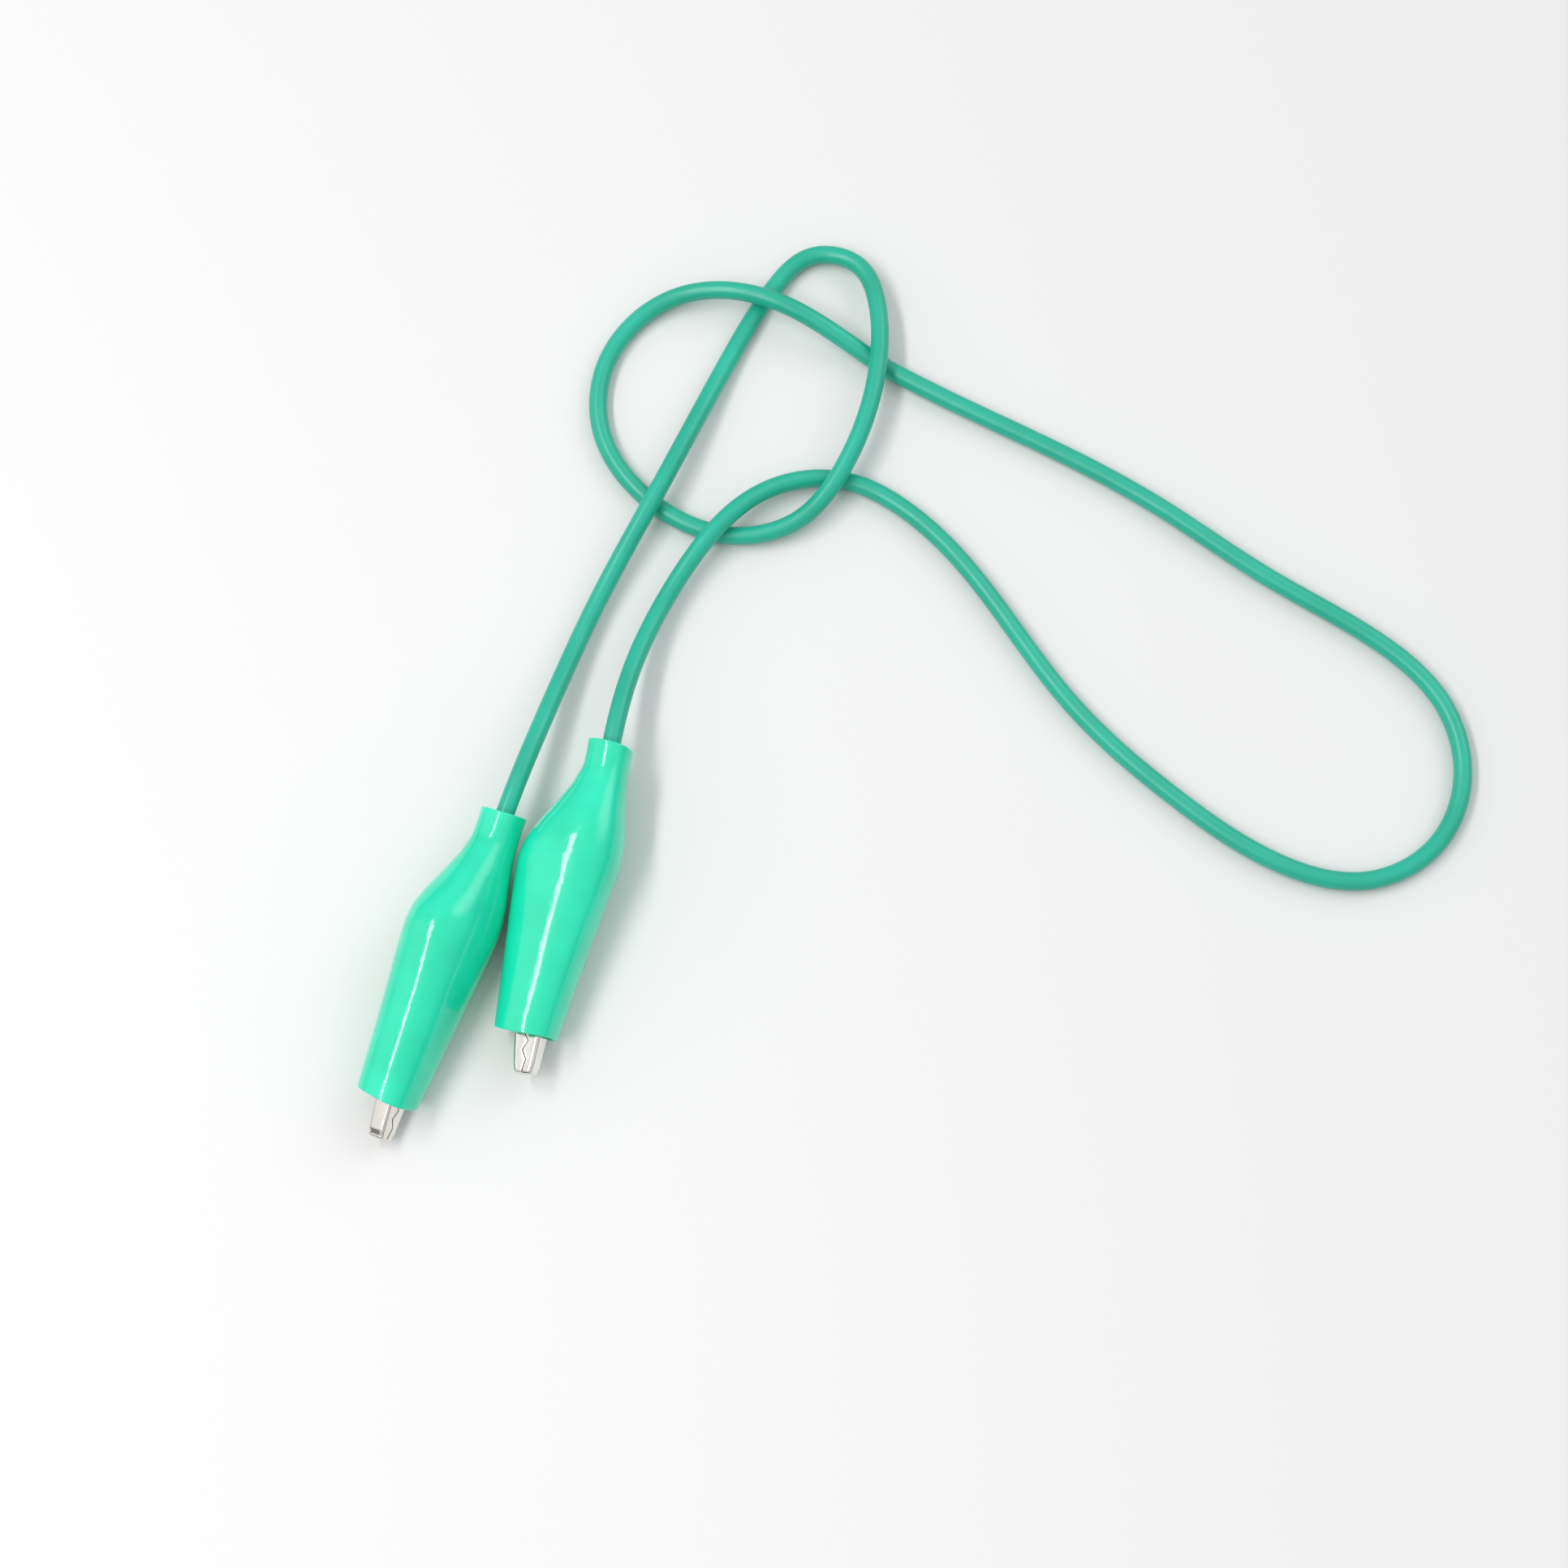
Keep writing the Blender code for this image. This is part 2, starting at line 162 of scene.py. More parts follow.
# Slow waves in the boot's surface: (waves in each mm, height), the share of that number that runs along the
# boot, and how far apart in the noise the two boots' waves are taken.
BOOT_WAVES = [(0.16, 0.10), (0.5, 0.022)]
BOOT_WAVE_STRETCH = 0.45
BOOT_WAVE_SHIFT = 40

# The thumb pads show through the boot: x and half length, the angles round it in radians, half their reach
# round it as a sine, and how far they push it out.
PAD_PLACE = -7.8
PAD_HALF_LENGTH = 3.0
PAD_ANGLES = (math.pi / 2, -math.pi / 2)
PAD_HALF_REACH = 0.5
PAD_IMPRINT = 0.10

# A short crease across each boot's shoulder: x, the angle round it in degrees, and its depth. Then its width,
# how far it reaches round the boot as a sine of half the angle, and how far it wanders along it.
CREASES = {"front": [(-9.6, -10.0, 0.05)], "rear": [(-8.2, 70.0, 0.05)]}
CREASE_WIDTH = 0.3
CREASE_REACH = 0.28
CREASE_WANDER = 0.5

# Stampings, in mm: the sheet and its rubbed edges, and the bent corners of its channels. A corner takes at
# most these shares of the channel's half width and of its wall.
SHEET = 0.4
EDGE_ROUND = 0.05
EDGE_SEGMENTS = 3
EDGE_ANGLE = 50
CORNER = 0.5
CORNER_STEPS = 8
CORNER_WIDTH_SHARE = 0.8
CORNER_WALL_SHARE = 0.9
WALL_SHARES = (0, 0.25, 0.5, 0.75)
SECTION_SPACING = 0.3
JAW_SMOOTHING = 0.5

# Grip ribs across the thumb pads, from and to these x, and the teeth of both jaws, from and to theirs. Each
# jaw's teeth stand JAW_GAP off the tooth line.
RIB_PITCH = 1.0
RIB_HEIGHT = 0.07
RIBS_START = -9.3
RIBS_END = -5.2
TOOTH_PITCH = 2.2
TOOTH_HEIGHT = 0.6
TOOTH_COUNT = 4
TEETH_START = 7.2
TEETH_END = 16.7
JAW_GAP = 0.08

# The ears round the pivot, with the angle in degrees at which they run into the edges, and the wire crimp.
EAR_RADIUS = 1.9
EAR_ANGLE = 25
CRIMP_RADIUS = 1.75
CRIMP_Z = -4.6
CRIMP_SHARES = (0.2, 0.4, 0.6, 0.8)
PIN_HOLE_RADIUS = 0.7
PIN_HOLE_REACH = 4.0

# Outlines of both jaws ahead of the throat: x, half width, distance of the spine from the tooth line.
NOSE = [
    (7.2, 1.70, 2.30),
    (12.5, 1.32, 1.75),
    (15.8, 1.18, 1.42),
    (16.25, 1.165, 1.37),
    (16.35, 1.15, 1.28),
    (16.8, 1.13, 1.22),
    (17.0, 1.02, 1.08),
]
# The rest of each jaw: (x, half width, spine) and (x, edge).
MOVING_BACK = [
    (-9.7, 1.90, 3.00),
    (-9.1, 2.05, 3.33),
    (-8.0, 2.10, 3.40),
    (-5.6, 2.05, 3.38),
    (-4.2, 1.90, 3.30),
    (-2.6, 1.90, 3.18),
    (0.0, 1.90, 2.95),
    (2.6, 1.90, 2.72),
    (5.0, 1.85, 2.50),
]
MOVING_EDGE = [
    (-9.7, 2.35),
    (-8.0, 2.35),
    (-5.6, 2.20),
    (-4.2, 1.60),
    (-2.6, 0.60),
    (2.6, 0.35),
    (5.0, 0.35),
]
FIXED_BACK = [
    (-12.6, 2.00, -6.50),
    (-9.0, 2.10, -6.20),
    (-6.0, 2.40, -5.35),
    (-4.4, 2.55, -4.92),
    (-2.6, 2.55, -4.36),
    (0.0, 2.55, -3.55),
    (2.6, 2.55, -3.00),
    (5.0, 2.10, -2.50),
]
FIXED_EDGE = [
    (-12.6, -5.20),
    (-9.0, -4.90),
    (-6.0, -3.60),
    (-4.4, -1.60),
    (-2.6, 0.0),
    (2.6, -0.35),
    (5.0, -0.35),
]
# The wire crimp: x, and how far in degrees it is open at its top.
CRIMP_OPENING = [(-18.8, 42), (-15.9, 50), (-15.0, 120)]

# Pivot pin, in mm: its shank, its domed head, and its peened head from the middle out as (radius, height).
ROUND_STEPS = 48
PIN_RADIUS = 0.6
PIN_HEAD_RADIUS = 1.05
PIN_HEAD_HEIGHT = 0.4
PIN_DOME_TURNS = range(0, 90, 9)
PIN_SEAT = 2.63
PIN_FOOT = [
    (0.05, 0.26),
    (0.35, 0.27),
    (0.50, 0.36),
    (0.70, PIN_HEAD_HEIGHT),
    (0.95, 0.26),
    (1.05, 0.08),
    (1.02, 0.0),
]

# Torsion spring, in mm: its coil, turned from COIL_START degrees, and the legs that lead to the two thumb
# pads.
COIL_RADIUS = 1.05
COIL_TURNS = 4
COIL_HALF_LENGTH = 1.06
COIL_START = 75
COIL_EXTRA = 120
COIL_POINTS = 200
SPRING_UPPER_LEG = [(-7.6, -COIL_HALF_LENGTH, 2.55), (-3.5, -COIL_HALF_LENGTH, 2.0)]
SPRING_LOWER_LEG = [(-3.2, COIL_HALF_LENGTH, -3.3), (-6.4, COIL_HALF_LENGTH, -4.6)]
SPRING_SPACING = 0.12
SPRING_CORNER = 0.3
SPRING_WIRE_RADIUS = 0.2
SPRING_END_ROUNDING = 0.06
SPRING_SIDES = 16

# Bared strands and solder, in mm. The outer strands lie STRAND_LAY strand radii from the middle one.
STRAND_ROUTE = [(-15.5, 0, -4.6), (-13.8, 0, -4.7), (-12.2, 0, -5.2), (-10.8, 0, -5.3), (-8.9, 0, -5.05)]
STRAND_RADIUS = 0.13
STRAND_TURNS = 1.5
STRAND_LAY = 2.04
STRANDS_AROUND = 6
STRAND_SPACING = 0.2
STRAND_SIDES = 12
STRAND_END_ROUNDING = 0.04
SOLDER_PLACE = (-8.2, 0, -5.08)
SOLDER_SIZE = (1.25, 0.95, 0.46)
SOLDER_TILT = 17
SOLDER_SEGMENTS = 40
SOLDER_RINGS = 24
SOLDER_LUMP_HEIGHT = 0.08
SOLDER_LUMP_SCALE = 1.7

# Curves: the samples that softened and rounded_path average, how far towards a quarter turn softened's cosine
# weights run, the turns in degrees of a tube's rounded end, and a way that no tube starts along.
SOFTENED_SAMPLES = 17
SOFTENED_FALL = 1.5
PATH_SAMPLES = 9
END_TURNS = (15, 40, 65, 90)
FIRST_SIDE = (0.3, 0.5, 0.8)

# Looks: colours by their place on a ramp over noise, and (least, greatest) roughness. NICKEL_EDGE_WEAR is
# added to the nickel's roughness over NICKEL_EDGES, its range of pointiness.
BOOT_GREENS = [(0.3, (0.004, 0.645, 0.385)), (0.7, (0.009, 0.725, 0.465))]
BOOT_ROUGHNESS = (0.30, 0.40)
WIRE_GREENS = [(0.3, (0.004, 0.380, 0.250)), (0.7, (0.008, 0.460, 0.320))]
WIRE_ROUGHNESS = (0.34, 0.46)
NICKEL_TONES = [(0.3, (0.74, 0.70, 0.64)), (0.7, (0.86, 0.84, 0.80))]
NICKEL_ROUGHNESS = (0.06, 0.13)
NICKEL_EDGE_WEAR = (0.0, 0.14)
NICKEL_EDGES = (0.52, 0.60)
TABLE_WHITES = [(0.3, (0.742, 0.742, 0.744)), (0.7, (0.756, 0.756, 0.758))]

# Bare metals: the light tone, the dark tone, (least, greatest) roughness and the scale of the marks.
SPRING_STEEL = ((0.62, 0.61, 0.59), (0.46, 0.45, 0.44), (0.18, 0.34), 2.6)
TINNED_COPPER = ((0.80, 0.74, 0.68), (0.72, 0.52, 0.40), (0.22, 0.40), 3.2)
SOLDER_TIN = ((0.72, 0.73, 0.75), (0.56, 0.57, 0.60), (0.16, 0.42), 1.4)

# The table top: half its size, and how far it lies under z = 0 so that nothing shares its plane.
TABLE_HALF_SIZE = 1.5
TABLE_DROP = 0.02 * MM

# The narrow light over the table: place and size in metres, tilt in degrees, watts and colour.
STRIP_PLACE = (-0.28, -0.03, 0.58)
STRIP_SIZE = (0.085, 0.66)
STRIP_TILT = -25
STRIP_WATTS = 2.4
STRIP_COLOUR = (1.0, 0.99, 0.97)

# The room round the table, from the horizon up: (height, colour).
ROOM = [
    (0.0, (0.09, 0.085, 0.08)),
    (0.12, (0.30, 0.29, 0.28)),
    (0.38, (0.80, 0.80, 0.81)),
    (1.0, (1.0, 1.0, 1.0)),
]
ROOM_STRENGTH = 0.78
# A window and a pale wall: the way to each, and the light added there as (closeness to that way, colour).
GLOWS = [
    ((0.62, 0.48, 0.62), [(0.90, (0.0, 0.0, 0.0)), (0.985, (2.1, 2.2, 2.3))]),
    ((-0.90, 0.15, 0.40), [(0.88, (0.0, 0.0, 0.0)), (0.97, (0.6, 0.6, 0.6))]),
]


# ---------------------------------------------------------------- shaders


def new_material(name):
    made = bpy.data.materials.new(name)
    made.use_nodes = True
    return made, made.node_tree.nodes, made.node_tree.links


def add_node(nodes, kind, inputs=(), **properties):
    """A shader node with these input values and properties."""
    node = nodes.new(kind)
    for key, value in properties.items():
        setattr(node, key, value)
    for key, value in dict(inputs).items():
        node.inputs[key].default_value = value
    return node


def noise_node(nodes, links, coordinates, scale, detail, stretch=(1, 1, 1)):
    """Noise of this scale, with its coordinates multiplied by stretch."""
    mapping = add_node(nodes, "ShaderNodeMapping", {"Scale": stretch})
    links.new(coordinates, mapping.inputs["Vector"])
    made = add_node(nodes, "ShaderNodeTexNoise", {"Scale": scale, "Detail": detail})
    links.new(mapping.outputs["Vector"], made.inputs["Vector"])
    return made.outputs["Fac"]


def colour_ramp(nodes, links, value, stops):
    """A colour ramp over (place, colour) stops."""
    ramp = add_node(nodes, "ShaderNodeValToRGB")
    elements = ramp.color_ramp.elements
    while len(elements) < len(stops):
        elements.new(0.5)
    for element, (place, colour) in zip(elements, stops):
        element.position = place
        element.color = (*colour, 1)
    links.new(value, ramp.inputs["Fac"])
    return ramp.outputs["Color"]


def value_range(nodes, links, value, limits, source=(0.3, 0.7)):
    """The value carried over from the source range to these limits."""
    settings = {"From Min": source[0], "From Max": source[1], "To Min": limits[0], "To Max": limits[1]}
    ranged = add_node(nodes, "ShaderNodeMapRange", settings)
    links.new(value, ranged.inputs["Value"])
    return ranged.outputs["Result"]


def set_values(shader, values):
    for key, value in values.items():
        shader.inputs[key].default_value = value


def bumps(nodes, links, layers):
    """A chain of bumps over (height, depth in metres, strength) layers. It returns the last normal."""
    normal = None
    for height, depth, strength in layers:
        bump = add_node(nodes, "ShaderNodeBump", {"Distance": depth, "Strength": strength})
        links.new(height, bump.inputs["Height"])
        if normal:
            links.new(normal, bump.inputs["Normal"])
        normal = bump.outputs["Normal"]
    return normal


def own_place(nodes):
    """Where a point lies in its piece's own frame, in mm."""
    return add_node(nodes, "ShaderNodeAttribute", attribute_name=PLACE).outputs["Vector"]


def boot_material():
    """Dip moulded soft PVC: an even green with a wet gloss, light through it and long faint waves."""
    made, nodes, links = new_material("boot_pvc")
    shader = nodes["Principled BSDF"]
    place = own_place(nodes)
    cloud = noise_node(nodes, links, place, scale=0.16, detail=2)
    links.new(colour_ramp(nodes, links, cloud, BOOT_GREENS), shader.inputs["Base Color"])
    smudge = noise_node(nodes, links, place, scale=0.42, detail=4)
    links.new(value_range(nodes, links, smudge, BOOT_ROUGHNESS), shader.inputs["Roughness"])
    waves = noise_node(nodes, links, place, scale=0.5, detail=2, stretch=(0.45, 1.0, 1.0))
    peel = noise_node(nodes, links, place, scale=2.2, detail=3)
    normal = bumps(nodes, links, [(waves, 0.11 * MM, 0.45), (peel, 0.03 * MM, 0.6)])
    links.new(normal, shader.inputs["Normal"])
    links.new(normal, shader.inputs["Coat Normal"])
    set_values(shader, {
        "IOR": 1.53,
        "Specular IOR Level": 0.2,
        "Subsurface Weight": 0.45,
        "Subsurface Radius": (0.35, 1.0, 0.75),
        "Subsurface Scale": 0.9 * MM,
        "Coat Weight": 1.0,
        "Coat Roughness": 0.055,
        "Coat IOR": 1.5,
    })
    return made


def wire_material():
    """Extruded PVC insulation: darker teal, satin, with faint lines along it."""
    made, nodes, links = new_material("wire_insulation")
    shader = nodes["Principled BSDF"]
    place = own_place(nodes)
    cloud = noise_node(nodes, links, place, scale=0.09, detail=3)
    links.new(colour_ramp(nodes, links, cloud, WIRE_GREENS), shader.inputs["Base Color"])
    smudge = noise_node(nodes, links, place, scale=0.5, detail=4)
    links.new(value_range(nodes, links, smudge, WIRE_ROUGHNESS), shader.inputs["Roughness"])
    lines = noise_node(nodes, links, place, scale=2.6, detail=2, stretch=(1.0, 1.0, 0.02))
    grain = noise_node(nodes, links, place, scale=5.2, detail=2)
    normal = bumps(nodes, links, [(lines, 0.02 * MM, 0.35), (grain, 0.008 * MM, 0.3)])
    links.new(normal, shader.inputs["Normal"])
    set_values(shader, {
        "IOR": 1.52,
        "Subsurface Weight": 0.25,
        "Subsurface Radius": (0.3, 1.0, 0.8),
        "Subsurface Scale": 0.4 * MM,
        "Coat Weight": 0.12,
        "Coat Roughness": 0.22,
    })
    return made


def nickel_material():
    """Barrel plated nickel: bright and slightly warm, with tumbling marks and rubbed edges."""
    made, nodes, links = new_material("nickel_plate")
    shader = nodes["Principled BSDF"]
    shader.inputs["Metallic"].default_value = 1.0
    place = own_place(nodes)
    cloud = noise_node(nodes, links, place, scale=0.35, detail=3)
    links.new(colour_ramp(nodes, links, cloud, NICKEL_TONES), shader.inputs["Base Color"])
    marks = noise_node(nodes, links, place, scale=2.4, detail=5)
    edge = add_node(nodes, "ShaderNodeNewGeometry")
    worn = value_range(nodes, links, edge.outputs["Pointiness"], NICKEL_EDGE_WEAR, NICKEL_EDGES)
    rough = add_node(nodes, "ShaderNodeMath", operation="ADD")
    links.new(value_range(nodes, links, marks, NICKEL_ROUGHNESS), rough.inputs[0])
    links.new(worn, rough.inputs[1])
    links.new(rough.outputs["Value"], shader.inputs["Roughness"])
    dents = noise_node(nodes, links, place, scale=0.7, detail=2)
    scratch = noise_node(nodes, links, place, scale=3.8, detail=2, stretch=(0.12, 1.0, 1.0))
    normal = bumps(nodes, links, [(dents, 0.012 * MM, 0.12), (scratch, 0.002 * MM, 0.2)])
    links.new(normal, shader.inputs["Normal"])
    return made


def bare_metal(name, light, dark, roughness, mark_scale):
    """Bare metal with a mottled tone and fine marks."""
    made, nodes, links = new_material(name)
    shader = nodes["Principled BSDF"]
    shader.inputs["Metallic"].default_value = 1.0
    place = own_place(nodes)
    tone = noise_node(nodes, links, place, scale=0.9, detail=4)
    links.new(colour_ramp(nodes, links, tone, [(0.35, dark), (0.65, light)]), shader.inputs["Base Color"])
    marks = noise_node(nodes, links, place, scale=mark_scale, detail=3)
    links.new(value_range(nodes, links, marks, roughness), shader.inputs["Roughness"])
    links.new(bumps(nodes, links, [(marks, 0.008 * MM, 0.4)]), shader.inputs["Normal"])
    return made


def table_material():
    """A matt white top with a barely visible cloudiness."""
    made, nodes, links = new_material("white_table")
    shader = nodes["Principled BSDF"]
    place = add_node(nodes, "ShaderNodeTexCoord")
    cloud = noise_node(nodes, links, place.outputs["Object"], scale=3, detail=2)
    links.new(colour_ramp(nodes, links, cloud, TABLE_WHITES), shader.inputs["Base Color"])
    set_values(shader, {"Roughness": 0.55, "Specular IOR Level": 0.25})
    return made


# ---------------------------------------------------------------- shapes


def smooth_curve(points, spacing):
    """Points about this far apart along the natural cubic curve through these ones, none under the table."""
    knots = np.array(points, float)
    spans = np.linalg.norm(np.diff(knots, axis=0), axis=1)
    count = len(knots)
    system, right = np.eye(count), np.zeros((count, 3))
    for i in range(1, count - 1):
        system[i, i - 1 : i + 2] = (spans[i - 1], 2 * (spans[i - 1] + spans[i]), spans[i])
        right[i] = 6 * ((knots[i + 1] - knots[i]) / spans[i] - (knots[i] - knots[i - 1]) / spans[i - 1])
    bend = np.linalg.solve(system, right)
    made = []
    for i, span in enumerate(spans):
        steps = max(1, round(span / spacing))
        for t in np.arange(steps) / steps:
            a, b = 1 - t, t
            cubic = ((a**3 - a) * bend[i] + (b**3 - b) * bend[i + 1]) * span**2 / 6
            made.append(a * knots[i] + b * knots[i + 1] + cubic)
    made.append(knots[-1])
    made = np.array(made)
    made[:, 2] = np.maximum(made[:, 2], WIRE_RADIUS)
    return made


def ease(value):
    clipped = np.clip(value, 0, 1)
    return clipped * clipped * (3 - 2 * clipped)


def hump(value, middle, width):
    return np.exp(-(((value - middle) / width) ** 2))


def softened(x, table, column, reach):
    """A table's column at x, averaged over reach on both sides, so that its corners are round."""
    places, values = np.array(table, float)[:, (0, column)].T
    offsets = np.linspace(-reach, reach, SOFTENED_SAMPLES)
    weights = np.cos(offsets / reach * SOFTENED_FALL) ** 2
    samples = [np.interp(np.asarray(x, float) + offset, places, values) for offset in offsets]
    return np.average(samples, axis=0, weights=weights)


def rounded_path(points, spacing, reach):
    """A polyline with points this far apart, whose corners are averaged over reach on both sides."""
    points = np.array(points, float)
    travelled = np.concatenate([[0], np.cumsum(np.linalg.norm(np.diff(points, axis=0), axis=1))])
    at = np.linspace(0, travelled[-1], max(2, round(travelled[-1] / spacing)) + 1)
    width = np.minimum(reach, np.minimum(at, travelled[-1] - at))
    samples = []
    for share in np.linspace(-1, 1, PATH_SAMPLES):
        there = at + share * width
        samples.append(np.stack([np.interp(there, travelled, points[:, k]) for k in range(3)], axis=1))
    return np.mean(samples, axis=0)


def directions(path):
    """The way the path runs at each of its points."""
    ahead = np.gradient(path, axis=0)
    return ahead / np.linalg.norm(ahead, axis=1)[:, None]


def tube_rings(path, radius, sides, rounding):
    """Rings round a path without twist, its ends rounded, and each point's place as (across, up, along)."""
    ahead = directions(path)
    along = np.concatenate([[0], np.cumsum(np.linalg.norm(np.diff(path, axis=0), axis=1))])
    stations = [(point, way, radius, s) for point, way, s in zip(path, ahead, along)]
    turns = np.radians(END_TURNS)
    caps = [(rounding * math.sin(a), radius - rounding * (1 - math.cos(a))) for a in turns]
    ends = []
    for end, sign in ((0, -1), (-1, 1)):
        point, way, _, s = stations[end]
        ends.append([(point + sign * way * out, way, r, s + sign * out) for out, r in caps])
    stations = ends[0][::-1] + stations + ends[1]
    angles = np.arange(sides) * math.tau / sides
    side = np.cross(ahead[0], FIRST_SIDE)
    rings, places = [], []
    for point, way, r, s in stations:
        side = side - way * (side @ way)
        side /= np.linalg.norm(side)
        up = np.cross(way, side)
        rings.append(point + r * (np.outer(np.cos(angles), side) + np.outer(np.sin(angles), up)))
        places.append(np.stack([r * np.cos(angles), r * np.sin(angles), np.full(sides, s)], axis=1))
    return np.array(rings), np.array(places)


def lathe_rings(profile, steps):
    """Rings of a (radius, height) profile turned about the y axis."""
    angles = np.arange(steps) * math.tau / steps
    across, up = np.cos(angles), np.sin(angles)
    return np.array([np.stack([r * across, np.full(steps, h), r * up], axis=1) for r, h in profile])


def skin(rings, ring_of_rings=False):
    """A closed mesh over rings of points: capped at each end, or its last ring joined to its first."""
    rows, columns = rings.shape[:2]
    index = np.arange(rows * columns).reshape(rows, columns)
    beside = np.roll(index, -1, axis=1)
    quads = np.stack([index, beside, np.roll(beside, -1, axis=0), np.roll(index, -1, axis=0)], axis=-1)
    if ring_of_rings:
        faces = quads.reshape(-1, 4).tolist()
    else:
        faces = quads[:-1].reshape(-1, 4).tolist() + [index[0].tolist()[::-1], index[-1].tolist()]
    mesh = bpy.data.meshes.new("skin")
    mesh.from_pydata(rings.reshape(-1, 3).tolist(), [], faces)
    point_out(mesh)
    return mesh


def point_out(mesh):
    """Turns all faces to point out of the mesh."""
    bm = bmesh.new()
    bm.from_mesh(mesh)
    bmesh.ops.recalc_face_normals(bm, faces=bm.faces)
    bm.to_mesh(mesh)
    bm.free()


def mesh_points(mesh):
    values = np.zeros(3 * len(mesh.vertices), np.float32)
    mesh.vertices.foreach_get("co", values)
    return values.reshape(-1, 3)


def keep_places(mesh, places):
    """Stores each point's place in its piece's own frame, in mm, for the materials to read."""
    values = np.asarray(places, np.float32).reshape(-1)
    mesh.attributes.new(PLACE, "FLOAT_VECTOR", "POINT").data.foreach_set("vector", values)


def finished_mesh(obj, cutter):
    """The mesh that the object's modifiers make. The object and its cutter are removed."""
    for used in (obj, cutter):
        bpy.context.scene.collection.objects.link(used)
    evaluated = obj.evaluated_get(bpy.context.evaluated_depsgraph_get())
    mesh = bpy.data.meshes.new_from_object(evaluated)
    for used in (obj, cutter):
        bpy.data.objects.remove(used)
    return mesh


def show(obj, finish, sharp):
    """Links an object with its material, shaded smooth apart from edges sharper than this angle."""
    bpy.context.scene.collection.objects.link(obj)
    obj.data.materials.clear()
    obj.data.materials.append(finish)
    obj.data.shade_smooth()
    obj.data.set_sharp_from_angle(angle=math.radians(sharp))


def add_piece(name, mesh, matrix, finish, node, sharp, body=None):
    """A piece drawn in a clip frame, in its place, standing for its CAD node."""
    obj = bpy.data.objects.new(name, mesh)
    keep_places(mesh, mesh_points(mesh))
    mesh.transform(matrix)
    show(obj, finish, sharp)
    if body:
        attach(obj, body)
    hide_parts(node)
    return obj


def clip_frame(end):
    """The matrix from an end's clip frame, in mm, to the table's metres."""
    hinge = next(joint for joint in frame["joints"] if joint["name"] == f"{end}_jaw_hinge")
    grip = next(mount for mount in frame["record"]["mounts"] if mount["name"] == f"{end}_jaw_grip")
    x = Vector(grip["axis"]).normalized()
    y = -Vector(hinge["axis"])
    y = (y - x * x.dot(y)).normalized()
    made = Matrix((x, y, x.cross(y))).transposed().to_4x4()
    made.translation = hinge["pos_m"]
    return made @ Matrix.Scale(MM, 4)


# ---------------------------------------------------------------- cord


def make_cord(finish):
    """The insulated wire on the CAD's route."""
    path = smooth_curve(np.array(WIRE_ROUTE) * MM, WIRE_SPACING)
    rings, places = tube_rings(path, WIRE_RADIUS, WIRE_SIDES, WIRE_RADIUS * WIRE_END_ROUNDING)
    mesh = skin(rings)
    keep_places(mesh, places / MM)
    cord = bpy.data.objects.new("cord", mesh)
    show(cord, finish, sharp=60)
    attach(cord, BASE_BODY)
    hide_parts("lead_wire")


# ---------------------------------------------------------------- boot


def boot_profile(x):
    """(middle height, half height, half width) of the boot's outer surface at x."""
    columns = (softened(x, BOOT_STATIONS, column, BOOT_SMOOTHING) for column in (1, 2, 3))
    top, bottom, half_width = columns
    return (top + bottom) / 2, (top - bottom) / 2, half_width


def boot_outline(x, angles):
    """Points [x, angle] round the boot, before its small unevenness."""
    middle, half_height, half_width = (value[:, None] for value in boot_profile(x))
    across, up = np.cos(angles)[None], np.sin(angles)[None]
    power = BOOT_SQUARENESS
    radius = (np.abs(across / half_width) ** power + np.abs(up / half_height) ** power) ** (-1 / power)
    along = np.repeat(x[:, None], len(angles), 1)
    return np.stack([along, radius * across, middle + radius * up], axis=-1)


def surface_normals(points):
    """Outward normals of a grid of points [along, round]."""
    ahead = np.gradient(points, axis=0)
    beside = np.roll(points, -1, axis=1) - np.roll(points, 1, axis=1)
    normals = np.cross(beside, ahead)
    return normals / np.linalg.norm(normals, axis=-1)[..., None]


def boot_unevenness(end, points, angles):
    """How far in mm the surface stands out: slow waves, the pads underneath, a crease and the flared neck."""
    x = points[..., 0]
    shift = Vector((ENDS.index(end) * BOOT_WAVE_SHIFT, 0, 0))
    waves = np.zeros(x.shape)
    for scale, height in BOOT_WAVES:
        stretch = Vector((scale * BOOT_WAVE_STRETCH, scale, scale))
        flat = [noise.noise(Vector(point) * stretch + shift) for point in points.reshape(-1, 3)]
        waves += height * np.array(flat).reshape(x.shape)
    pads = 0
    for turn in PAD_ANGLES:
        pads = pads + hump(np.sin(angles - turn), 0, PAD_HALF_REACH) * (np.cos(angles - turn) > 0)
    stands_out = waves + PAD_IMPRINT * pads[None] * hump(x, PAD_PLACE, PAD_HALF_LENGTH)
    for place, turn, depth in CREASES[end]:
        around = hump(np.sin((angles - math.radians(turn)) / 2), 0, CREASE_REACH)[None]
        wandered = x + CREASE_WANDER * np.sin(2 * angles)[None]
        stands_out -= depth * around * hump(wandered, place, CREASE_WIDTH)
    return stands_out + BOOT_FLARE * ease((BOOT_FLARE_START - x) / BOOT_FLARE_LENGTH)


def boot_slant(end, points, up):
    """How far each point lies forward of a square cut. up is the way up from the table, in the clip frame."""
    neck, mouth_side, mouth_top = (math.tan(math.radians(slant)) for slant in CUT_SLANTS[end])
    x = points[..., 0]
    right = points @ -np.cross((1, 0, 0), up)
    at_neck = ease((NECK_SLANT_START - x) / NECK_SLANT_LENGTH)
    at_mouth = ease((x - MOUTH_SLANT_START) / MOUTH_SLANT_LENGTH)
    return right * (neck * at_neck + mouth_side * at_mouth) + points @ up * mouth_top * at_mouth


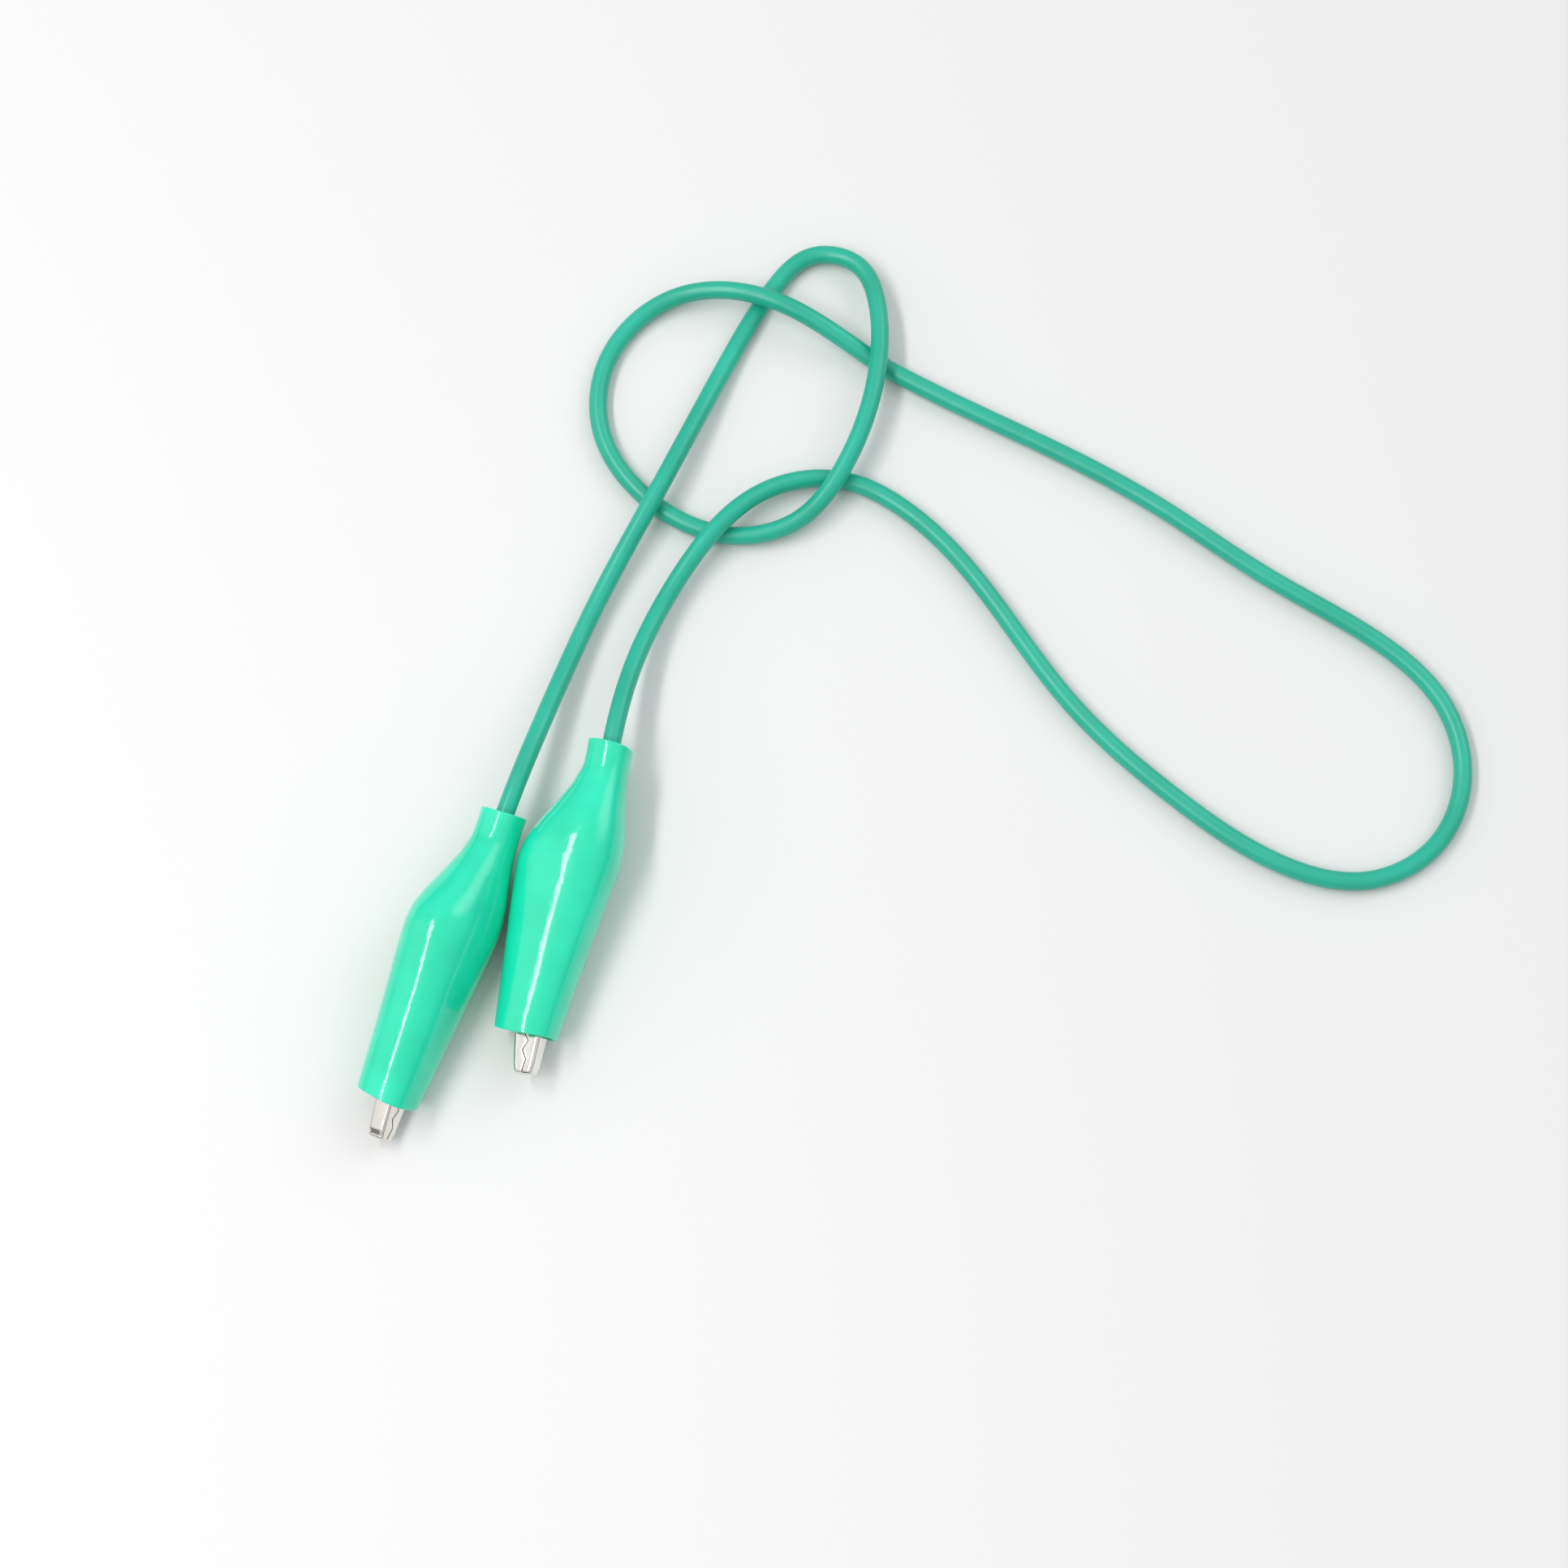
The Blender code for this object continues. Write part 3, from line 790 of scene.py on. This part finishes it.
def boot_rim(outer, inner, outward):
    """Rings across a cut end, from the outer surface to the inner one, with both corners rounded."""
    wall = np.linalg.norm(inner - outer, axis=-1)[:, None]
    inwards = (inner - outer) / wall
    corner = [(BOOT_RIM * (1 - math.cos(a)), BOOT_RIM * math.sin(a)) for a in np.radians(RIM_TURNS)]
    rings = [outer + inwards * inset + outward * height for inset, height in corner]
    return rings + [inner - inwards * inset + outward * height for inset, height in reversed(corner)]


def make_boot(end, matrix, finish):
    """The sleeve: its outer surface, its inner one a wall's thickness in, and a cut rim at both ends."""
    x = np.linspace(BOOT_STATIONS[0][0] + BOOT_RIM, BOOT_STATIONS[-1][0] - BOOT_RIM, BOOT_ROWS)
    angles = np.arange(BOOT_SIDES) * math.tau / BOOT_SIDES
    smooth = boot_outline(x, angles)
    normals = surface_normals(smooth)
    outer = smooth + normals * boot_unevenness(end, smooth, angles)[..., None]
    mouth = ease((x - MOUTH_UNEVEN_START) / MOUTH_UNEVEN_LENGTH)[:, None] * MOUTH_UNEVENNESS
    outer[..., 0] += mouth * np.sin(2 * angles + MOUTH_UNEVEN_TURN)[None] - mouth
    wall = np.interp(x, *BOOT_WALL.T)[:, None, None]
    turn, height = np.array(matrix)[2, :3], matrix[2][3]
    outer[..., 0] += boot_slant(end, outer, turn / MM)
    outer = off_table(outer, turn, height, 0.0)
    inner = off_table(outer - normals * wall, turn, height, BOOT_LEAST_WALL)
    x_axis = np.array((1.0, 0.0, 0.0))
    mouth_rim = boot_rim(outer[-1], inner[-1], x_axis)
    neck_rim = boot_rim(outer[0], inner[0], -x_axis)
    rings = np.array([*outer, *mouth_rim, *inner[::-1], *neck_rim[::-1]])
    mesh = skin(rings, ring_of_rings=True)
    boot = add_piece(f"{end}_boot_sleeve", mesh, matrix, finish, f"{end}_boot", sharp=50)
    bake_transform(boot)


def off_table(points, turn, height, least):
    """Points in a clip frame moved up until each is at least this high over the table."""
    missing = np.maximum(least - (points @ turn + height), 0)
    return points + missing[..., None] * turn / (turn @ turn)


# ---------------------------------------------------------------- jaws


def tooth_line():
    """(x, z) of the zigzag of both jaws' edges, from the throat to the tip."""
    corners = [(TEETH_START, 0.0)]
    for i in range(2 * TOOTH_COUNT):
        x = TEETH_START + TOOTH_PITCH * (i + 0.5) / 2
        corners.append((x, TOOTH_HEIGHT / 2 * (-1) ** i))
    return corners + [(TEETH_END, 0.0), (NOSE[-1][0], 0.0)]


def ear_edge(x, side, edges):
    """The height of a wall's edge behind the throat: straight runs and the round ear about the pivot."""
    reach = EAR_RADIUS * math.cos(math.radians(EAR_ANGLE))
    if abs(x) <= reach:
        return -side * math.sqrt(EAR_RADIUS**2 - x * x)
    ear = -side * EAR_RADIUS * math.sin(math.radians(EAR_ANGLE))
    if x < 0:
        rows = [row for row in edges if row[0] < -reach] + [(-reach, ear)]
    else:
        rows = [(reach, ear)] + [row for row in edges if row[0] > reach]
    return float(np.interp(x, *np.array(rows).T))


def channel(x, half_width, spine, edge):
    """An open channel's section: up one wall, round the corner, over the spine and down the other wall."""
    side = math.copysign(1, spine - edge)
    radius = min(CORNER, CORNER_WIDTH_SHARE * half_width, CORNER_WALL_SHARE * abs(spine - edge))
    half = [(half_width, edge + (spine - side * radius - edge) * t) for t in WALL_SHARES]
    for turn in np.radians(np.linspace(0, 90, CORNER_STEPS)):
        inwards, down = radius * (1 - math.cos(turn)), side * radius * (1 - math.sin(turn))
        half.append((half_width - inwards, spine - down))
    half += [((half_width - radius) * t, spine) for t in reversed(WALL_SHARES[1:])]
    return [(x, y, z) for y, z in half] + [(x, 0, spine)] + [(x, -y, z) for y, z in reversed(half)]


def crimp(x, opening, count):
    """The channel curled round the wire, open by this angle in degrees at its top."""
    turns = np.radians(90 - opening / 2 - (360 - opening) * np.linspace(0, 1, count))
    return [(x, CRIMP_RADIUS * math.cos(a), CRIMP_Z + CRIMP_RADIUS * math.sin(a)) for a in turns]


def back_sections(side, back, edges):
    """Channel sections from the thumb pad's rear end to the throat, with grip ribs across the pad."""
    start, stop = back[0][0], back[-1][0]
    reach = EAR_RADIUS * math.cos(math.radians(EAR_ANGLE))
    places = [*np.arange(start, stop, SECTION_SPACING), -reach, reach, stop]
    sections = []
    for x in sorted(places):
        on_pad = float(ease(x - RIBS_START) * ease(RIBS_END - x))
        ribs = RIB_HEIGHT * math.sin(math.tau * x / RIB_PITCH) * on_pad
        half_width = float(softened(x, back, 1, JAW_SMOOTHING))
        spine = float(softened(x, back, 2, JAW_SMOOTHING)) + side * ribs
        sections.append(channel(x, half_width, spine, ear_edge(x, side, edges)))
    return sections


def nose_sections(side):
    """Channel sections from the throat to the tip, at each corner of the tooth line and of the nose."""
    teeth, nose = np.array(tooth_line()), np.array(NOSE)
    sections = []
    for x in np.union1d(teeth[:, 0], nose[:, 0]):
        half_width, spine = (float(np.interp(x, nose[:, 0], nose[:, column])) for column in (1, 2))
        edge = float(np.interp(x, *teeth.T))
        sections.append(channel(x, half_width, side * spine, edge + side * JAW_GAP))
    return sections


def crimp_sections(first):
    """The wire crimp, and the stretch that opens out of it into the channel's first section."""
    count = len(first)
    made = [crimp(x, opening, count) for x, opening in CRIMP_OPENING]
    from_crimp, to_channel = np.array(made[-1]), np.array(first)
    return made + [(from_crimp + (to_channel - from_crimp) * share).tolist() for share in CRIMP_SHARES]


def hole_cutter():
    """A plug across the clip, as wide as the holes for the pivot pin."""
    profile = [(PIN_HOLE_RADIUS, -PIN_HOLE_REACH), (PIN_HOLE_RADIUS, PIN_HOLE_REACH)]
    return bpy.data.objects.new("pivot_hole", skin(lathe_rings(profile, ROUND_STEPS)))


def stamped(name, sections, side):
    """Sheet metal along these sections, pierced for the pivot, with its cut edges slightly rounded."""
    grid = np.array(sections)
    rows, columns = grid.shape[:2]
    index = np.arange(rows * columns).reshape(rows, columns)
    faces = np.stack([index[:-1, :-1], index[:-1, 1:], index[1:, 1:], index[1:, :-1]], axis=-1)
    faces = faces.reshape(-1, 4)
    if side < 0:
        faces = faces[:, ::-1]
    mesh = bpy.data.meshes.new(name)
    mesh.from_pydata(grid.reshape(-1, 3).tolist(), [], faces.tolist())
    sheet = bpy.data.objects.new(name, mesh)
    wall = sheet.modifiers.new("Sheet", "SOLIDIFY")
    wall.thickness = SHEET
    wall.offset = -1
    wall.use_even_offset = True
    cutter = hole_cutter()
    hole = sheet.modifiers.new("Pivot hole", "BOOLEAN")
    hole.object = cutter
    edge = sheet.modifiers.new("Rubbed edges", "BEVEL")
    edge.width = EDGE_ROUND
    edge.segments = EDGE_SEGMENTS
    edge.limit_method = "ANGLE"
    edge.angle_limit = math.radians(EDGE_ANGLE)
    return finished_mesh(sheet, cutter)


def make_jaws(end, matrix, finish):
    """The moving jaw, and the fixed one with its wire crimp."""
    moving = back_sections(1, MOVING_BACK, MOVING_EDGE) + nose_sections(1)
    fixed = back_sections(-1, FIXED_BACK, FIXED_EDGE)
    fixed = crimp_sections(fixed[0]) + fixed + nose_sections(-1)
    jaws = [("moving", moving, 1, f"{end}_jaw"), ("fixed", fixed, -1, BASE_BODY)]
    for kind, sections, side, body in jaws:
        name = f"{end}_{kind}_stamping"
        mesh = stamped(name, sections, side)
        add_piece(name, mesh, matrix, finish, f"{end}_{kind}_jaw", body=body, sharp=40)


# ---------------------------------------------------------------- pivot pin, spring, strands and solder


def make_rivet(end, matrix, finish):
    """A domed head, the shank, and a flatter head with a dimple where it was peened."""
    turns = [math.radians(turn) for turn in reversed(PIN_DOME_TURNS)]
    head = [(PIN_HEAD_RADIUS * math.cos(a), -PIN_SEAT - PIN_HEAD_HEIGHT * math.sin(a)) for a in turns]
    foot = [(r, PIN_SEAT + h) for r, h in reversed(PIN_FOOT)]
    profile = [*head, (PIN_RADIUS, -PIN_SEAT), (PIN_RADIUS, PIN_SEAT), *foot]
    mesh = skin(lathe_rings(profile, ROUND_STEPS))
    add_piece(f"{end}_rivet", mesh, matrix, finish, f"{end}_pivot_pin", body=BASE_BODY, sharp=50)


def make_torsion_spring(end, matrix, finish):
    """A coil round the pivot pin, with a leg to each thumb pad."""
    swept = math.radians(360 * COIL_TURNS + COIL_EXTRA)
    turns = np.radians(COIL_START) - np.linspace(0, swept, COIL_POINTS)
    across = np.linspace(-COIL_HALF_LENGTH, COIL_HALF_LENGTH, len(turns))
    coil = np.stack([COIL_RADIUS * np.cos(turns), across, COIL_RADIUS * np.sin(turns)], axis=1)
    path = rounded_path([*SPRING_UPPER_LEG, *coil, *SPRING_LOWER_LEG], SPRING_SPACING, SPRING_CORNER)
    mesh = skin(tube_rings(path, SPRING_WIRE_RADIUS, SPRING_SIDES, SPRING_END_ROUNDING)[0])
    spring = add_piece(f"{end}_torsion_spring", mesh, matrix, finish, f"{end}_spring", sharp=60)
    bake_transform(spring)


def make_strands(end, matrix, finish):
    """Six tinned strands laid round a seventh."""
    core = smooth_curve_mm(STRAND_ROUTE, STRAND_SPACING)
    ahead = directions(core)
    side = np.array((0.0, 1.0, 0.0))
    up = np.cross(ahead, side)
    up /= np.linalg.norm(up, axis=1)[:, None]
    share = np.linspace(0, 1, len(core))
    paths = [core]
    for i in range(STRANDS_AROUND):
        turn = math.tau * (i / STRANDS_AROUND + STRAND_TURNS * share)
        away = np.cos(turn)[:, None] * side + np.sin(turn)[:, None] * up
        paths.append(core + STRAND_LAY * STRAND_RADIUS * away)
    bm = bmesh.new()
    for path in paths:
        bm.from_mesh(skin(tube_rings(path, STRAND_RADIUS, STRAND_SIDES, STRAND_END_ROUNDING)[0]))
    joined = bpy.data.meshes.new("strands")
    bm.to_mesh(joined)
    bm.free()
    add_piece(f"{end}_strands", joined, matrix, finish, f"{end}_conductor", body=BASE_BODY,
              sharp=60)


def smooth_curve_mm(points, spacing):
    """smooth_curve for points in a clip frame, which may lie at any height."""
    clear_of_table = np.array((0.0, 0.0, 100.0))
    return smooth_curve(np.array(points, float) + clear_of_table, spacing) - clear_of_table


def make_solder(end, matrix, finish):
    """A flat uneven drop on the floor of the fixed jaw, round the ends of the strands."""
    bm = bmesh.new()
    bmesh.ops.create_uvsphere(bm, u_segments=SOLDER_SEGMENTS, v_segments=SOLDER_RINGS, radius=1.0)
    turn = Matrix.Rotation(math.radians(-SOLDER_TILT), 3, "Y")
    for vert in bm.verts:
        lumps = 1 + SOLDER_LUMP_HEIGHT * noise.noise(vert.co * SOLDER_LUMP_SCALE)
        shaped = Vector([value * size for value, size in zip(vert.co * lumps, SOLDER_SIZE)])
        vert.co = turn @ shaped + Vector(SOLDER_PLACE)
    mesh = bpy.data.meshes.new("solder")
    bm.to_mesh(mesh)
    bm.free()
    add_piece(f"{end}_solder_joint", mesh, matrix, finish, f"{end}_solder", body=BASE_BODY,
              sharp=80)


# ---------------------------------------------------------------- stage


def make_camera():
    data = bpy.data.cameras.new("photo_view")
    data.lens = CAMERA_LENS
    data.sensor_width = CAMERA_SENSOR
    data.clip_start = CAMERA_NEAREST
    camera = bpy.data.objects.new("photo_view", data)
    elevation = math.radians(CAMERA_ELEVATION)
    outwards = Vector((0, -math.cos(elevation), math.sin(elevation)))
    camera.location = CAMERA_TARGET + CAMERA_DISTANCE * outwards
    camera.rotation_euler = (math.radians(90 - CAMERA_ELEVATION), 0, 0)
    bpy.context.scene.collection.objects.link(camera)
    bpy.context.scene.camera = camera


def make_floor(finish):
    mesh = bpy.data.meshes.new("table_top")
    corners = [(-1, -1), (1, -1), (1, 1), (-1, 1)]
    points = [(x * TABLE_HALF_SIZE, y * TABLE_HALF_SIZE, -TABLE_DROP) for x, y in corners]
    mesh.from_pydata(points, [], [(0, 1, 2, 3)])
    floor = bpy.data.objects.new("table_top", mesh)
    show(floor, finish, sharp=30)


def make_strip_light():
    data = bpy.data.lights.new("strip_light", "AREA")
    data.shape = "RECTANGLE"
    data.size, data.size_y = STRIP_SIZE
    data.energy = STRIP_WATTS
    data.color = STRIP_COLOUR
    lamp = bpy.data.objects.new("strip_light", data)
    lamp.location = STRIP_PLACE
    lamp.rotation_euler = (0, math.radians(STRIP_TILT), 0)
    bpy.context.scene.collection.objects.link(lamp)


def make_world():
    """A bright ceiling, a window and a pale wall over darker walls, for bright metal to reflect."""
    world = bpy.data.worlds.new("room")
    world.use_nodes = True
    nodes, links = world.node_tree.nodes, world.node_tree.links
    way = add_node(nodes, "ShaderNodeTexCoord").outputs["Generated"]
    split = add_node(nodes, "ShaderNodeSeparateXYZ")
    links.new(way, split.inputs["Vector"])
    colour = colour_ramp(nodes, links, split.outputs["Z"], ROOM)
    for glow_way, stops in GLOWS:
        closeness = add_node(nodes, "ShaderNodeVectorMath", operation="DOT_PRODUCT")
        closeness.inputs[1].default_value = Vector(glow_way).normalized()
        links.new(way, closeness.inputs[0])
        both = add_node(nodes, "ShaderNodeVectorMath", operation="ADD")
        links.new(colour, both.inputs[0])
        links.new(colour_ramp(nodes, links, closeness.outputs["Value"], stops), both.inputs[1])
        colour = both.outputs["Vector"]
    links.new(colour, nodes["Background"].inputs["Color"])
    nodes["Background"].inputs["Strength"].default_value = ROOM_STRENGTH
    bpy.context.scene.world = world


def main():
    bpy.context.scene.view_settings.view_transform = "Standard"
    make_camera()
    make_world()
    make_floor(table_material())
    make_strip_light()
    make_cord(wire_material())
    boot, nickel = boot_material(), nickel_material()
    steel = bare_metal("spring_steel", *SPRING_STEEL)
    copper = bare_metal("tinned_copper", *TINNED_COPPER)
    tin = bare_metal("solder_tin", *SOLDER_TIN)
    for end in ENDS:
        matrix = clip_frame(end)
        make_boot(end, matrix, boot)
        make_jaws(end, matrix, nickel)
        make_rivet(end, matrix, steel)
        make_torsion_spring(end, matrix, steel)
        make_strands(end, matrix, copper)
        make_solder(end, matrix, tin)


main()
